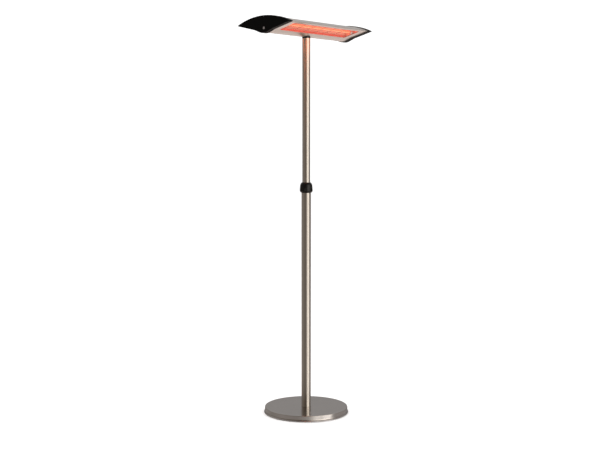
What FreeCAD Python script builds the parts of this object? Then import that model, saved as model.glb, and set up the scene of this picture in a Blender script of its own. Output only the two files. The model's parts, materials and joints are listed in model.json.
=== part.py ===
"""Free-standing outdoor heater: a round weighted base, a telescopic pole and a double-sided head.

Millimetres, +Z up.  The origin is on the floor under the middle of the pole.  The head's long axis
lies along X; its two wings point to -Y (front) and +Y (rear).  Each sub-part is one STEP file.
"""
import FreeCAD, Part
import math
import os

V = FreeCAD.Vector

# ---- base -------------------------------------------------------------------------------------
BASE_RIM_R = 225.0          # bottom edge of the flared skirt
BASE_WALL_R = 220.8         # upright side above the flare
BASE_HEIGHT = 32.5          # top face above the floor
BASE_EDGE_R = 2.6           # rounding of the top edge
FLARE_Z = 12.0              # the side starts to flare out here
FLARE_R = 6.5
FLARE_SWEEP = 65.0          # degrees that the flare turns through
SKIRT_GAP = 3.0             # skirt's bottom edge above the floor
COVER_SHEET = 1.2
PLATE_Z = 5.0               # underside of the bottom plate
PLATE_SHEET = 1.5
PLATE_R = 221.0
WEIGHT_R = 208.0
WEIGHT_THICKNESS = 9.0
WEIGHT_BOSS_R = 45.0
FOOT_R = 14.0
FOOT_CIRCLE_R = 192.0
FOOT_COUNT = 6
PLATE_SCREW_CIRCLE_R = 120.0
BOLT_R = 6.0                # central bolt between weight and pole socket
BOLT_HOLE_R = 6.6
BOLT_RECESS = 8.0           # depth of the recess for the bolt's washer and head
SOCKET_HEIGHT = 45.0

# ---- pole -------------------------------------------------------------------------------------
LOWER_R = 25.0              # outside radius of the lower tube
UPPER_R = 21.0              # outside radius of the upper tube
TUBE_WALL = 1.5
LOWER_TOP_Z = 1188.0        # top end of the lower tube, hidden in the lock ring
UPPER_BOTTOM_Z = 965.0      # bottom end of the upper tube with the pole fully drawn out
UPPER_TOP_Z = 1983.0
LINER_BOTTOM_Z = 1035.5     # bottom end of the liner: the stop of the fully extended pole
BUSH_HEIGHT = 38.0
BUSH_RING_HEIGHT = 10.0
RUNNING_GAP = 0.06          # radial clearance of the fits that slide or turn
FREE_GAP = 0.3              # gap between neighbours that move past each other
GLAND_Z = 100.0             # cable gland at the foot of the pole
GLAND_TURN = 45.0           # its direction round the pole, from +X towards +Y
GLAND_BORE_R = 4.2
GLAND_THREAD_R = 6.0
GLAND_FLANGE_R = 9.0
GLAND_LENGTH = 18.0

# ---- lock ring ---------------------------------------------------------------------------------
RING_BOTTOM_Z = 1175.3
RING_TOP_Z = 1230.3
RING_R = 34.0
RING_LIP = 5.5              # height of the inward lip that holds the ring on the collar
RING_FLUTES = 10
FLUTE_DEPTH = 1.3
FLUTE_R = 9.0
COLLAR_R = 29.5             # fixed collar inside the ring
COLLAR_NECK_R = 27.0
COLLAR_STEP_Z = 1206.0
COLLAR_TOP_Z = 1218.0

# ---- head, seen along X: u is the distance from the pole's axis, v the height over the tips ----
TIP_Z = 2031.0              # height of the two wing tips
HEAD_LENGTH = 652.0
TIP_U = 184.0               # where the outline's two long edges would meet, before rounding
TIP_V = 0.5
TIP_ROUNDING = 2.8
CROWN_V = 41.0              # top of the arched roof
KNEE_U = 60.0               # where the wing turns into the steeper flank of the keel
WING_ANGLE = 13.3
FLANK_ANGLE = 20.5
KEEL_RADIUS = 70.0
CAP_DEPTH = 28.0
GASKET = 1.0
END_PLATE = 3.0
END_PLATE_INSET = 2.0
BODY_INSET = 4.0            # the sheet body stands this far inside the outline of the caps
BODY_SHEET = 1.5
CAP_WALL = 3.5
CAP_SCREW_Y = 105.0
HEM_U = 168.2               # rolled edge of the hood along the wing tips
HEM_V = 1.8
HEM_R = 2.0

# ---- wings: t runs along the wing from the window's middle to its tip, w runs into the body ----
WINDOW_U = 99.0
WINDOW_HALF_WIDTH = 53.0
WINDOW_HALF_LENGTH = 256.0
WINDOW_CORNER_R = 10.0
MOUTH_W = 6.0               # mouth of the reflector over the outer face of the tray
REFLECTOR_HALF_WIDTH = 49.0
REFLECTOR_DEPTH = 20.0
REFLECTOR_SHEET = 0.8
REFLECTOR_HALF_LENGTH = 264.0
REFLECTOR_LIP = 7.5
REFLECTOR_FOOT_W = 1.7      # the lips turn down to here, just above the tray
CLIP_X = 122.0
CLIP_HALF_WIDTH = 6.0
LAMP_W = 12.0
LAMP_R = 6.0
LAMP_HALF_LENGTH = 236.0
CERAMIC_R = 7.0
CERAMIC_START = 245.0
CERAMIC_END = 283.0
BRACKET_X = 275.0
GUARD_WIRE_R = 1.0
GUARD_W = 2.7
GUARD_LONG_WIRES = 5
GUARD_CROSS_WIRES = 7
GUARD_OVERLAP_X = 5.0       # how far the grille reaches past the window's edges
GUARD_OVERLAP_Y = 2.0
GUARD_END_X = 30.0          # first cross wire from the ends of the grille
GUARD_END_Y = 9.0

# ---- head frame --------------------------------------------------------------------------------
RAIL_Z = 1994.0             # underside of the channel that carries everything in the head
RAIL_BASE = 4.0
RAIL_HALF_WIDTH = 21.0
RAIL_TOP_Z = 2014.0
RAIL_SHEET = 2.0
RAIL_SCREW_Y = 12.0
RAIL_SCREW_Z = RAIL_Z + 12
FLANGE_THICKNESS = 4.0
SPIGOT_R = 19.4
SPIGOT_BORE_R = 15.5
SPIGOT_BOTTOM_Z = 1923.0
SPIGOT_SCREW_Z = 1950.0
DECK_Z = RAIL_Z + RAIL_BASE + 0.02      # where the pieces on the rail stand
POST_PLACES = (-200.0, 200.0)
BUTTON_V = -22.0
BUTTON_Y = -6.0
BUTTON_R = 7.0
BUTTON_TRAVEL = 2.5
BUTTON_REST = 0.5           # button's face inside the cap's outer face at rest
BUTTON_LENGTH = CAP_WALL + 0.9
BEZEL_R = 9.5
SWITCH_HALF = 10.0
TERMINAL_X = 75.5           # first pair of terminal wells
TERMINAL_PITCH = 9.25
TERMINAL_COUNT = 5
TIP_SWITCH_X = -98.0
CUTOUT_X = -150.0
LEAD_R = 1.4

HALF_LENGTH = HEAD_LENGTH / 2
CAP_X = HALF_LENGTH - CAP_DEPTH
GASKET_X = CAP_X - GASKET
BODY_X = GASKET_X - END_PLATE


# ---- small tools -------------------------------------------------------------------------------
def cylinder(radius, low, high, x=0.0, y=0.0):
    """Upright cylinder between two heights."""
    return Part.makeCylinder(radius, high - low, V(x, y, low))


def tube(outer, inner, low, high, x=0.0, y=0.0):
    """Upright ring between two heights."""
    return cylinder(outer, low, high, x, y).cut(cylinder(inner, low - 1, high + 1, x, y))


def along(axis, radius, start, length):
    """Cylinder from a point in any direction."""
    return Part.makeCylinder(radius, length, start, axis)


def box(low, high):
    """Box from its lowest to its highest corner."""
    size = [h - l for l, h in zip(low, high)]
    return Part.makeBox(size[0], size[1], size[2], V(*low))


def group(shapes):
    """Several separate solids in one node."""
    return shapes[0] if len(shapes) == 1 else Part.makeCompound(shapes)


def revolve(points):
    """Solid of revolution about Z from (radius, height) points; a triple bends through its middle."""
    edges = []
    start = points[0]
    for item in points[1:] + [points[0]]:
        if isinstance(item[0], tuple):
            middle, end = item
            edges.append(Part.Arc(V(start[0], 0, start[1]), V(middle[0], 0, middle[1]),
                                  V(end[0], 0, end[1])).toShape())
            start = end
        else:
            edges.append(Part.makeLine(V(start[0], 0, start[1]), V(item[0], 0, item[1])))
            start = item
    face = Part.Face(Part.Wire(edges))
    return face.revolve(V(0, 0, 0), V(0, 0, 1), 360)


def screw(point, axis, shank_r, shank, head_r, head):
    """Screw whose head lies against point and whose shank runs along axis."""
    axis = V(*axis)
    button = along(axis * -1, head_r, point, head)
    rim = [e for e in button.Edges if e.Closed and (e.CenterOfMass - (point - axis * head)).Length < 0.01]
    return button.makeFillet(head * 0.4, rim[:1]).fuse(along(axis, shank_r, point, shank)).removeSplitter()


def ring_points(radius, count, turn=0.0):
    """Points evenly spaced on a circle about the pole."""
    angles = [math.radians(turn + 360.0 * i / count) for i in range(count)]
    return [(radius * math.cos(a), radius * math.sin(a)) for a in angles]


# ---- outline of the head -----------------------------------------------------------------------
KNEE_V = TIP_V - (TIP_U - KNEE_U) * math.tan(math.radians(WING_ANGLE))
FLANK_SLOPE = math.tan(math.radians(FLANK_ANGLE))
APEX_V = KNEE_V - KNEE_U * FLANK_SLOPE          # where the two flanks would meet under the keel
KEEL_V = APEX_V + KEEL_RADIUS * (1 / math.cos(math.radians(FLANK_ANGLE)) - 1)


def outline_face(x):
    """Full outline of the end caps as a face across X, before any inset."""
    touch_u = KEEL_RADIUS * math.sin(math.radians(FLANK_ANGLE))
    touch_v = APEX_V + touch_u * FLANK_SLOPE

    def at(u, v):
        return V(x, u, TIP_Z + v)

    edges = [
        Part.Arc(at(-TIP_U, TIP_V), at(0, CROWN_V), at(TIP_U, TIP_V)).toShape(),
        Part.makeLine(at(TIP_U, TIP_V), at(KNEE_U, KNEE_V)),
        Part.makeLine(at(KNEE_U, KNEE_V), at(touch_u, touch_v)),
        Part.Arc(at(touch_u, touch_v), at(0, KEEL_V), at(-touch_u, touch_v)).toShape(),
        Part.makeLine(at(-touch_u, touch_v), at(-KNEE_U, KNEE_V)),
        Part.makeLine(at(-KNEE_U, KNEE_V), at(-TIP_U, TIP_V)),
    ]
    return Part.Face(Part.Wire(edges))


def head_prism(x0, x1, inset):
    """Solid with the head's outline, set in by a distance, between two stations on X."""
    face = outline_face(x0)
    if inset:
        face = face.makeOffset2D(-inset, 2, False, False, True)
    return face.extrude(V(x1 - x0, 0, 0))


def round_tips(solid, radius):
    """Round the two sharp edges that run along X at the wing tips."""
    tip_y = max(abs(v.Point.y) for v in solid.Vertexes)
    edges = [e for e in solid.Edges
             if abs(abs(e.CenterOfMass.y) - tip_y) < 0.01
             and abs(e.Vertexes[0].Point.x - e.Vertexes[-1].Point.x) > 1]
    return solid.makeFillet(radius, edges)


# ---- wing frame --------------------------------------------------------------------------------
def tray_v(u):
    """Height of the tray's outer face over the tips, at a distance from the pole's axis."""
    slope = math.radians(WING_ANGLE)
    return TIP_V - (TIP_U - u) * math.tan(slope) + BODY_INSET / math.cos(slope)


def wing_place(side):
    """Placement of a wing's own axes: local X along the head, local Y towards the tip, Z inwards."""
    turn = FreeCAD.Rotation(V(1, 0, 0), WING_ANGLE)
    place = FreeCAD.Placement(V(0, WINDOW_U, TIP_Z + tray_v(WINDOW_U)), turn)
    if side < 0:
        place = FreeCAD.Placement(V(0, 0, 0), FreeCAD.Rotation(V(0, 0, 1), 180)).multiply(place)
    return place


def on_wing(shape, side):
    """Move a shape from a wing's own axes into place: side -1 is the front, +1 the rear."""
    moved = shape.copy()
    moved.Placement = wing_place(side).multiply(moved.Placement)
    return moved


# ---- base parts --------------------------------------------------------------------------------
def cover_solid(inset):
    """Pressed base shape: flat top, rounded edge, upright side and a rim that flares out."""
    top = BASE_HEIGHT - inset
    wall = BASE_WALL_R - inset
    rim = BASE_RIM_R - inset
    low = SKIRT_GAP - (5 if inset else 0)
    bend = BASE_EDGE_R * math.sin(math.radians(45))
    shoulder = top - BASE_EDGE_R

    def flare(sweep):
        """Point of the flare, whose centre lies outside the side."""
        turn = math.radians(sweep)
        radius = FLARE_R + inset
        return BASE_WALL_R + FLARE_R - radius * math.cos(turn), FLARE_Z - radius * math.sin(turn)

    return revolve([
        (0, top),
        (wall - BASE_EDGE_R, top),
        ((wall - BASE_EDGE_R + bend, shoulder + bend), (wall, shoulder)),
        (wall, FLARE_Z),
        (flare(FLARE_SWEEP / 2), flare(FLARE_SWEEP)),
        (rim, flare(FLARE_SWEEP)[1] - 0.5),
        (rim, low),
        (0, low),
    ])


def base_cover():
    shell = cover_solid(0).cut(cover_solid(COVER_SHEET))
    return shell.cut(cylinder(BOLT_HOLE_R, 20, 40))


def screw_rings():
    """Centres of the foot screws and of the plate screws, all on the base's underside."""
    return ring_points(FOOT_CIRCLE_R, FOOT_COUNT) + ring_points(PLATE_SCREW_CIRCLE_R, FOOT_COUNT, 30)


def base_weight():
    low = PLATE_Z + PLATE_SHEET
    high = low + WEIGHT_THICKNESS
    body = cylinder(WEIGHT_R, low, high).fuse(cylinder(WEIGHT_BOSS_R, high - 1, BASE_HEIGHT - COVER_SHEET))
    body = body.fuse(tube(WEIGHT_R, WEIGHT_R - 14, high - 1, high + 4))
    body = body.cut(cylinder(BOLT_HOLE_R, 0, 40)).cut(cylinder(31, low - 1, low + 3 + BOLT_RECESS))
    for x, y in screw_rings():
        body = body.cut(cylinder(2.6, low - 1, low + 7.5, x, y))
    return body.removeSplitter()


def base_plate():
    plate = cylinder(PLATE_R, PLATE_Z, PLATE_Z + PLATE_SHEET).cut(cylinder(32, 0, 10))
    for x, y in screw_rings():
        plate = plate.cut(cylinder(2.8, 0, 10, x, y))
    return plate


def base_plate_screws():
    return group([screw(V(x, y, PLATE_Z), (0, 0, 1), 2.5, 8.5, 4.8, 2.2)
                  for x, y in ring_points(PLATE_SCREW_CIRCLE_R, FOOT_COUNT, 30)])


def rubber_feet():
    feet = []
    for x, y in ring_points(FOOT_CIRCLE_R, FOOT_COUNT):
        puck = Part.makeCone(FOOT_R - 1.5, FOOT_R, PLATE_Z, V(x, y, 0))
        bore = cylinder(2.8, -1, 10, x, y).fuse(cylinder(6, -1, 3, x, y))
        feet.append(puck.cut(bore))
    return group(feet)


def foot_screws():
    return group([screw(V(x, y, 3), (0, 0, 1), 2.5, 10, 4.8, 2.0)
                  for x, y in ring_points(FOOT_CIRCLE_R, FOOT_COUNT)])


def hexagon(width, low, high):
    """Upright hexagonal prism with the given width across its flats."""
    corner = width / math.sqrt(3)
    points = [V(x, y, low) for x, y in ring_points(corner, 6)]
    return Part.Face(Part.makePolygon(points + points[:1])).extrude(V(0, 0, high - low))


def base_washer():
    low = PLATE_Z + PLATE_SHEET + BOLT_RECESS
    return tube(29, BOLT_HOLE_R, low, low + 3)


def base_bolt():
    seat = PLATE_Z + PLATE_SHEET + BOLT_RECESS
    shank = cylinder(BOLT_R, seat - 1, BASE_HEIGHT + 30)
    return hexagon(19, seat - 7.5, seat).fuse(shank).removeSplitter()


def pole_socket():
    top = BASE_HEIGHT + SOCKET_HEIGHT
    plug = cylinder(LOWER_R - TUBE_WALL - 0.05, BASE_HEIGHT, top)
    plug = plug.makeChamfer(2, [e for e in plug.Edges if e.Closed and e.CenterOfMass.z > top - 1])
    return plug.cut(cylinder(BOLT_R + 0.1, 0, BASE_HEIGHT + 36))


# ---- pole parts --------------------------------------------------------------------------------
def gland_bar(radius, start, length):
    """Cylinder along the gland's axis, from a distance outside the pole's axis."""
    turn = math.radians(GLAND_TURN)
    outwards = V(math.cos(turn), math.sin(turn), 0)
    return along(outwards, radius, outwards * start + V(0, 0, GLAND_Z), length)


def lower_tube():
    body = tube(LOWER_R, LOWER_R - TUBE_WALL, BASE_HEIGHT, LOWER_TOP_Z)
    return body.cut(gland_bar(GLAND_THREAD_R + 0.1, 10, 30))


def cable_gland():
    sleeve = gland_bar(GLAND_THREAD_R, LOWER_R - TUBE_WALL - 6, GLAND_LENGTH)
    flange = gland_bar(GLAND_FLANGE_R, LOWER_R - 3, 6.5)
    flange = flange.cut(cylinder(LOWER_R + 0.02, GLAND_Z - 20, GLAND_Z + 20))
    gland = sleeve.fuse(flange)
    end = LOWER_R - TUBE_WALL - 6 + GLAND_LENGTH
    mouth = [e for e in gland.Edges if e.Closed and abs(math.hypot(*e.CenterOfMass[:2]) - end) < 0.01]
    return gland.makeChamfer(1.0, mouth).cut(gland_bar(GLAND_BORE_R, 0, 60)).removeSplitter()


def gland_nut():
    nut = gland_bar(GLAND_FLANGE_R, LOWER_R - TUBE_WALL - 5, 5)
    nut = nut.common(cylinder(LOWER_R - TUBE_WALL - 0.05, GLAND_Z - 20, GLAND_Z + 20))
    return nut.cut(gland_bar(GLAND_THREAD_R + 0.05, 0, 60))


def liner_sleeve():
    return tube(LOWER_R - TUBE_WALL - 0.02, UPPER_R + RUNNING_GAP, LINER_BOTTOM_Z, LOWER_TOP_Z)


def collar_body():
    """Fixed collar on the lower tube: a skirt in the ring's lip, a wide body and a narrower neck."""
    foot = tube(COLLAR_R, LOWER_R + 0.03, RING_BOTTOM_Z + RING_LIP + 0.4, LOWER_TOP_Z)
    body = tube(COLLAR_R, LOWER_R - 1.3, LOWER_TOP_Z, COLLAR_STEP_Z)
    neck = tube(COLLAR_NECK_R, LOWER_R - 0.7, COLLAR_STEP_Z - 1, COLLAR_TOP_Z)
    return foot.fuse(body).fuse(neck).removeSplitter()


def collet():
    """Slotted clamp ring between the collar and the upper tube."""
    ring = tube(LOWER_R - 1.4, UPPER_R + RUNNING_GAP, LOWER_TOP_Z + 0.5, COLLAR_TOP_Z - 1)
    for turn in (45, 135, 225, 315):
        slot = box((0, -1.2, LOWER_TOP_Z + 6), (40, 1.2, COLLAR_TOP_Z + 10))
        slot.rotate(V(0, 0, 0), V(0, 0, 1), turn)
        ring = ring.cut(slot)
    return ring


def lock_ring():
    """Black twist grip: chamfered below, widest low on its side, with a rounded shoulder."""
    low = RING_BOTTOM_Z
    high = RING_TOP_Z
    body = revolve([
        (0, low),
        (26.5, low),
        (RING_R - 0.6, low + 7.5),
        ((RING_R, low + 9.5), (RING_R - 0.1, low + 12)),
        ((RING_R - 0.9, low + 27), (RING_R - 2.6, low + 41)),
        ((RING_R - 5.6, low + 49), (RING_R - 11.5, high)),
        (0, high),
    ])
    centre = RING_R - FLUTE_DEPTH + FLUTE_R
    flute_top = high - 19
    for turn in range(RING_FLUTES):
        flute = cylinder(FLUTE_R, low + 8.5, flute_top, centre, 0)
        flute = flute.fuse(Part.makeSphere(FLUTE_R, V(centre, 0, flute_top)))
        flute.rotate(V(0, 0, 0), V(0, 0, 1), 360.0 * turn / RING_FLUTES)
        body = body.cut(flute)
    body = body.cut(cylinder(UPPER_R + FREE_GAP, low, high + 1))
    body = body.cut(cylinder(LOWER_R + 0.4, low - 1, COLLAR_STEP_Z))
    body = body.cut(cylinder(COLLAR_R + FREE_GAP, low + RING_LIP, COLLAR_STEP_Z + 0.4))
    return body.cut(cylinder(COLLAR_NECK_R + FREE_GAP, COLLAR_STEP_Z, COLLAR_TOP_Z + 0.4)).removeSplitter()


def guide_bush():
    """Sliding bush on the upper tube, which turns in it."""
    low = UPPER_BOTTOM_Z + 12 + BUSH_RING_HEIGHT
    return tube(LOWER_R - TUBE_WALL - RUNNING_GAP, UPPER_R + RUNNING_GAP, low, low + BUSH_HEIGHT)


def bush_rings():
    """Rings pressed on the upper tube above and below the bush; the upper one is the height stop."""
    outer = LOWER_R - TUBE_WALL - FREE_GAP
    inner = UPPER_R + 0.02
    low = UPPER_BOTTOM_Z + 12
    bush_top = low + BUSH_RING_HEIGHT + BUSH_HEIGHT
    lower = tube(outer, inner, low, low + BUSH_RING_HEIGHT - FREE_GAP)
    upper = tube(outer, inner, bush_top + FREE_GAP, LINER_BOTTOM_Z - FREE_GAP)
    return group([lower, upper])


def upper_tube():
    body = tube(UPPER_R, UPPER_R - TUBE_WALL, UPPER_BOTTOM_Z, UPPER_TOP_Z)
    return body.cut(along(V(0, 1, 0), 2.7, V(0, 10, SPIGOT_SCREW_Z), 30))


# ---- head carrier ------------------------------------------------------------------------------
def keel_hole():
    """Round way through the tray, rail and ring for the spigot."""
    return cylinder(SPIGOT_R + 0.15, UPPER_TOP_Z - 5, TIP_Z)


def head_ring():
    """Black ring between the top of the pole and the keel, scribed to the keel."""
    ring = tube(UPPER_R + 0.8, SPIGOT_R + 0.1, UPPER_TOP_Z, UPPER_TOP_Z + 12)
    return ring.cut(head_prism(-60, 60, BODY_INSET - 0.02))


def head_spigot():
    """Tube that plugs into the pole, with a flange on the rail; the leads pass through it."""
    low = RAIL_Z + RAIL_BASE
    high = low + FLANGE_THICKNESS
    body = cylinder(SPIGOT_R, SPIGOT_BOTTOM_Z, high).fuse(box((-42, -18, low), (42, 18, high)))
    body = body.cut(cylinder(SPIGOT_BORE_R, SPIGOT_BOTTOM_Z - 1, high + 1))
    for x, y in bolt_places():
        body = body.cut(cylinder(3.2, low - 1, high + 1, x, y))
    return body.cut(along(V(0, 1, 0), 2.55, V(0, 10, SPIGOT_SCREW_Z), 30)).removeSplitter()


def bolt_places():
    """Centres of the four bolts that hold the flange on the rail."""
    return [(x, y) for x in (-32, 32) for y in (-10, 10)]


def mount_bolts():
    seat = RAIL_Z + RAIL_BASE + FLANGE_THICKNESS
    bolts = []
    for x, y in bolt_places():
        head = hexagon(10, seat, seat + 4)
        head.translate(V(x, y, 0))
        bolts.append(head.fuse(cylinder(3.0, RAIL_Z - 0.5, seat + 1, x, y)).removeSplitter())
    return group(bolts)


def spigot_screw():
    """Screw through the pole into the spigot, with its washer curved to the pole."""
    washer = along(V(0, 1, 0), 5.0, V(0, UPPER_R - 2, SPIGOT_SCREW_Z), 4.0)
    washer = washer.cut(cylinder(UPPER_R + 0.02, SPIGOT_SCREW_Z - 20, SPIGOT_SCREW_Z + 20))
    shank = along(V(0, -1, 0), 2.5, V(0, UPPER_R + 1, SPIGOT_SCREW_Z), 6.5)
    return washer.fuse(shank).removeSplitter()


def tray_screw_places():
    return (-235.0, -120.0, 120.0, 235.0)


def chassis_rail():
    """Channel along the keel with a tab at each end, where the end plates are screwed on."""
    length = BODY_X - 0.05
    wide = RAIL_HALF_WIDTH
    rail = box((-length, -wide, RAIL_Z), (length, wide, RAIL_TOP_Z))
    rail = rail.cut(box((RAIL_SHEET - length, RAIL_SHEET - wide, RAIL_Z + RAIL_BASE),
                        (length - RAIL_SHEET, wide - RAIL_SHEET, RAIL_TOP_Z + 1)))
    room = head_prism(-BODY_X, BODY_X, BODY_INSET + BODY_SHEET + 0.1)
    rail = rail.common(room).cut(keel_hole())
    for x, y in bolt_places():
        rail = rail.cut(cylinder(3.05, RAIL_Z - 1, RAIL_Z + 10, x, y))
    for x in tray_screw_places():
        rail = rail.cut(cylinder(2.05, RAIL_Z - 5, RAIL_Z + 10, x, 0))
    for y in (-RAIL_SCREW_Y, RAIL_SCREW_Y):
        rail = rail.cut(along(V(1, 0, 0), 2.05, V(-BODY_X - 1, y, RAIL_SCREW_Z), 10))
        rail = rail.cut(along(V(-1, 0, 0), 2.05, V(BODY_X + 1, y, RAIL_SCREW_Z), 10))
    return rail.removeSplitter()


def rail_screws():
    return group([screw(V(-inwards * GASKET_X, y, RAIL_SCREW_Z), (inwards, 0, 0), 2.0, 9, 3.6, 2.2)
                  for inwards in (-1, 1) for y in (-RAIL_SCREW_Y, RAIL_SCREW_Y)])


def tray_screws():
    """Screws through the keel of the tray, up into the rail."""
    seat = TIP_Z + KEEL_V + BODY_INSET
    return group([screw(V(x, 0, seat), (0, 0, 1), 2.0, 12, 3.6, 1.0) for x in tray_screw_places()])


# ---- head shells -------------------------------------------------------------------------------
def body_shell():
    """Closed sheet ring with the outline of the sheet body."""
    outer = round_tips(head_prism(-BODY_X + 0.02, BODY_X - 0.02, BODY_INSET), 1.0)
    return outer.cut(head_prism(-BODY_X - 5, BODY_X + 5, BODY_INSET + BODY_SHEET))


def seam(low_side):
    """Half space above or below the seam between hood and tray, at the wing tips."""
    split = TIP_Z + 1.2
    if low_side:
        return box((-400, -250, split - 100), (400, 250, split - 0.05))
    return box((-400, -250, split + 0.05), (400, 250, split + 100))


def hem(side, grow=0.0):
    """Rolled edge of the hood along one wing tip."""
    start = V(-BODY_X + 0.02 - grow, side * HEM_U, TIP_Z + HEM_V)
    return along(V(1, 0, 0), HEM_R + grow, start, 2 * (BODY_X - 0.02 + grow))


def hood():
    """Arched roof sheet with a rolled hem along each wing tip."""
    roof = body_shell().common(seam(False))
    return roof.fuse(hem(-1)).fuse(hem(1)).removeSplitter()


def upright_edges(solid):
    return [e for e in solid.Edges if abs(e.Vertexes[0].Point.z - e.Vertexes[-1].Point.z) > 1]


def window(side):
    """Prism through one wing's window."""
    half_x = WINDOW_HALF_LENGTH
    half_y = WINDOW_HALF_WIDTH
    cutter = box((-half_x, -half_y, -20), (half_x, half_y, 20))
    return on_wing(cutter.makeFillet(WINDOW_CORNER_R, upright_edges(cutter)), side)


def tray():
    """Folded underside sheet with the keel and a window in each wing."""
    sheet = body_shell().common(seam(True))
    for side in (-1, 1):
        sheet = sheet.cut(window(side)).cut(hem(side, 0.05))
    sheet = sheet.cut(keel_hole())
    for x in tray_screw_places():
        sheet = sheet.cut(cylinder(2.1, TIP_Z - 60, RAIL_Z + 1, x, 0))
    return sheet.removeSplitter()


def end_plate(side):
    """Light metal plate that closes the sheet body under the black cap."""
    x0, x1 = (BODY_X, GASKET_X) if side > 0 else (-GASKET_X, -BODY_X)
    plate = round_tips(head_prism(x0, x1, END_PLATE_INSET), TIP_ROUNDING)
    for y in (-RAIL_SCREW_Y, RAIL_SCREW_Y):
        plate = plate.cut(along(V(1, 0, 0), 2.1, V(x0 - 5, y, RAIL_SCREW_Z), 20))
    for y, z in cap_screw_places():
        plate = plate.cut(along(V(1, 0, 0), 2.1, V(x0 - 5, y, z), 20))
    return plate.cut(along(V(1, 0, 0), 6.0, V(x0 - 5, 0, TIP_Z + 12), 20))


def cap_screw_places():
    """(y, z) of the three screws of an end cap."""
    return [(-CAP_SCREW_Y, TIP_Z + 3), (0.0, TIP_Z + 27), (CAP_SCREW_Y, TIP_Z + 3)]


def end_cap(side):
    """Black moulded cap: closed outer face, hollow inside, with a screw boss at each screw."""
    x0, x1 = (CAP_X, HALF_LENGTH) if side > 0 else (-HALF_LENGTH, -CAP_X)
    inner0, inner1 = (x0 - 5, x1 - CAP_WALL) if side > 0 else (x0 + CAP_WALL, x1 + 5)
    block = round_tips(head_prism(x0, x1, 0), TIP_ROUNDING)
    face_x = HALF_LENGTH * side
    rim = [e for e in block.Edges
           if all(abs(v.Point.x - face_x) < 0.01 for v in e.Vertexes)]
    block = block.makeFillet(2.2, rim)
    shell = block.cut(head_prism(inner0, inner1, CAP_WALL))
    for y, z in cap_screw_places():
        boss = along(V(1, 0, 0), 5.0, V(x0 + 0.5 if side > 0 else x0 + 1, y, z), CAP_DEPTH - 1.5)
        pilot = along(V(1, 0, 0), 1.9, V(x0 - 1 if side > 0 else x1 - 14, y, z), 15)
        shell = shell.fuse(boss).cut(pilot)
    if side < 0:
        shell = shell.cut(button_bar(BEZEL_R + 0.1, -1, CAP_WALL + 2))
    return shell.removeSplitter()


def cap_gasket(side):
    """Flat seal between an end plate and its cap."""
    x0, x1 = (GASKET_X + 0.02, CAP_X - 0.02) if side > 0 else (-CAP_X + 0.02, -GASKET_X - 0.02)
    return head_prism(x0, x1, END_PLATE_INSET + 0.3).cut(head_prism(x0 - 1, x1 + 1, CAP_WALL + 1.5))


def end_cap_screws():
    screws = []
    for x, axis in ((BODY_X, 1), (-BODY_X, -1)):
        for y, z in cap_screw_places():
            screws.append(screw(V(x, y, z), (axis, 0, 0), 1.85, 15, 3.8, 2.2))
    return group(screws)


def hood_posts():
    """Posts that hold the roof up from the rail."""
    posts = []
    for x in POST_PLACES:
        post = cylinder(6, DECK_Z, TIP_Z + CROWN_V - 2, x, 0)
        posts.append(post.common(head_prism(x - 20, x + 20, BODY_INSET + BODY_SHEET + 0.02)))
    return group(posts)


def heat_shield():
    """Arched sheet that keeps the lamps' heat off the hood."""
    sheet = head_prism(-280, 280, 11).cut(head_prism(-290, 290, 11.8))
    sheet = sheet.common(box((-300, -118, TIP_Z), (300, 118, TIP_Z + 60)))
    for x in POST_PLACES:
        sheet = sheet.cut(cylinder(6.3, TIP_Z, TIP_Z + 60, x, 0))
    return sheet


# ---- heating parts -----------------------------------------------------------------------------
def trough_section(half_width, depth):
    """Face under a circular arc, across local X."""
    x = -REFLECTOR_HALF_LENGTH
    low = MOUTH_W
    arc = Part.Arc(V(x, -half_width, low), V(x, 0, low + depth), V(x, half_width, low)).toShape()
    return Part.Face(Part.Wire([arc, Part.makeLine(V(x, half_width, low), V(x, -half_width, low))]))


def reflector(side):
    """Polished trough with closed ends; a lip along each long edge turns down to the tray."""
    length = 2 * REFLECTOR_HALF_LENGTH
    sheet = REFLECTOR_SHEET
    outer = trough_section(REFLECTOR_HALF_WIDTH, REFLECTOR_DEPTH).extrude(V(length, 0, 0))
    hollow = trough_section(REFLECTOR_HALF_WIDTH - sheet * 1.6, REFLECTOR_DEPTH - sheet)
    hollow = hollow.extrude(V(length - 2 * sheet, 0, 0))
    hollow.translate(V(sheet, 0, 0))
    trough = outer.cut(hollow)
    half = REFLECTOR_HALF_LENGTH
    edge = REFLECTOR_HALF_WIDTH + REFLECTOR_LIP
    for sign in (-1, 1):
        lip = sorted((sign * (REFLECTOR_HALF_WIDTH - 1.2), sign * edge))
        turned = sorted((sign * (edge - sheet), sign * edge))
        trough = trough.fuse(box((-half, lip[0], MOUTH_W), (half, lip[1], MOUTH_W + sheet)))
        trough = trough.fuse(box((-half, turned[0], REFLECTOR_FOOT_W), (half, turned[1], MOUTH_W + sheet)))
    trough = trough.cut(along(V(1, 0, 0), CERAMIC_R + 0.6, V(-400, 0, LAMP_W), 800))
    return on_wing(trough.removeSplitter(), side)


def reflector_clips():
    """Small posts on the tray, hooked over the reflectors' lips."""
    low = MOUTH_W + REFLECTOR_SHEET + 0.05
    high = low + 2.1
    edge = REFLECTOR_HALF_WIDTH + REFLECTOR_LIP + 0.3
    clips = []
    for side in (-1, 1):
        for x in (-CLIP_X, CLIP_X):
            for sign in (-1, 1):
                post_y = sorted((sign * edge, sign * (edge + 2.4)))
                hook_y = sorted((sign * (edge - 3), sign * (edge + 1)))
                x0 = x - CLIP_HALF_WIDTH
                x1 = x + CLIP_HALF_WIDTH
                post = box((x0, post_y[0], BODY_SHEET + 0.05), (x1, post_y[1], high))
                hook = box((x0, hook_y[0], low), (x1, hook_y[1], high))
                clips.append(on_wing(post.fuse(hook).removeSplitter(), side))
    return group(clips)


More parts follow.
